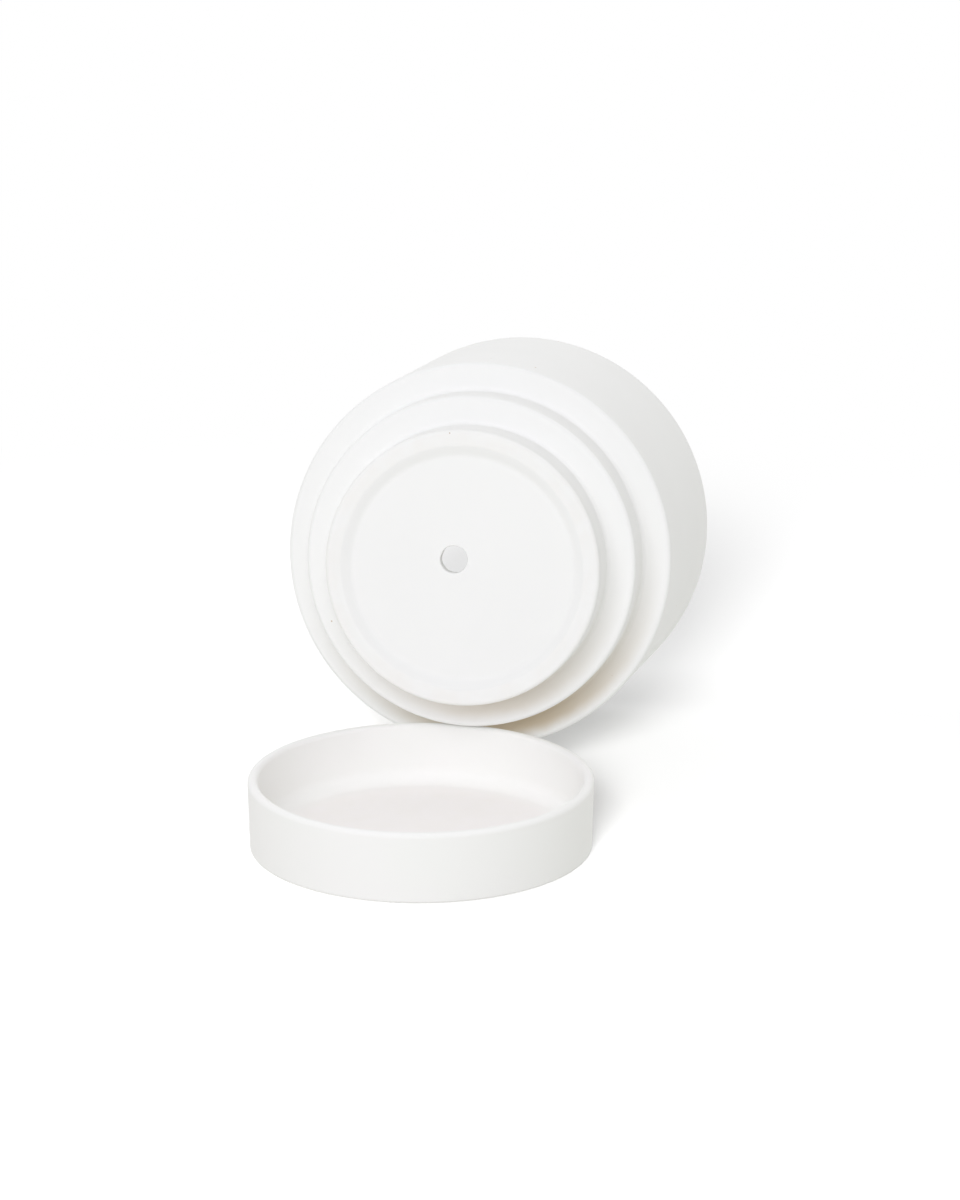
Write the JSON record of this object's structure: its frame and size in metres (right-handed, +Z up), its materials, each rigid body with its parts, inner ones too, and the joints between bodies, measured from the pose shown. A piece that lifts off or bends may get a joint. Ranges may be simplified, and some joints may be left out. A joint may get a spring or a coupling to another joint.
{
  "type": "plant pot with saucer",
  "caption": "Round matte porcelain plant pot with a stepped base and a drain hole, lying propped on the rim of its shallow saucer, in which it stands in use.",
  "frame": {"origin": "centre of the underside of the saucer, on the floor", "axes": "+Z up; +Y from the saucer towards the lying pot, along the pot's axis seen from above; +X to the right seen from the saucer's side"},
  "size_m": [0.15, 0.263, 0.163],
  "materials": {
    "pot_porcelain": "matte",
    "saucer_porcelain": "matte"
  },
  "bodies": {
    "saucer": {"saucer": "saucer_porcelain"},
    "pot": {"pot": "pot_porcelain"}
  },
  "joints": [
    {"name": "pot_stand_up", "type": "hinge", "parent": "saucer", "child": "pot", "pos_m": [0, 0.06116, 0.03087], "axis": [0.9977, -0.0515, -0.0446], "range_deg": [0, 98.4]}
  ]
}
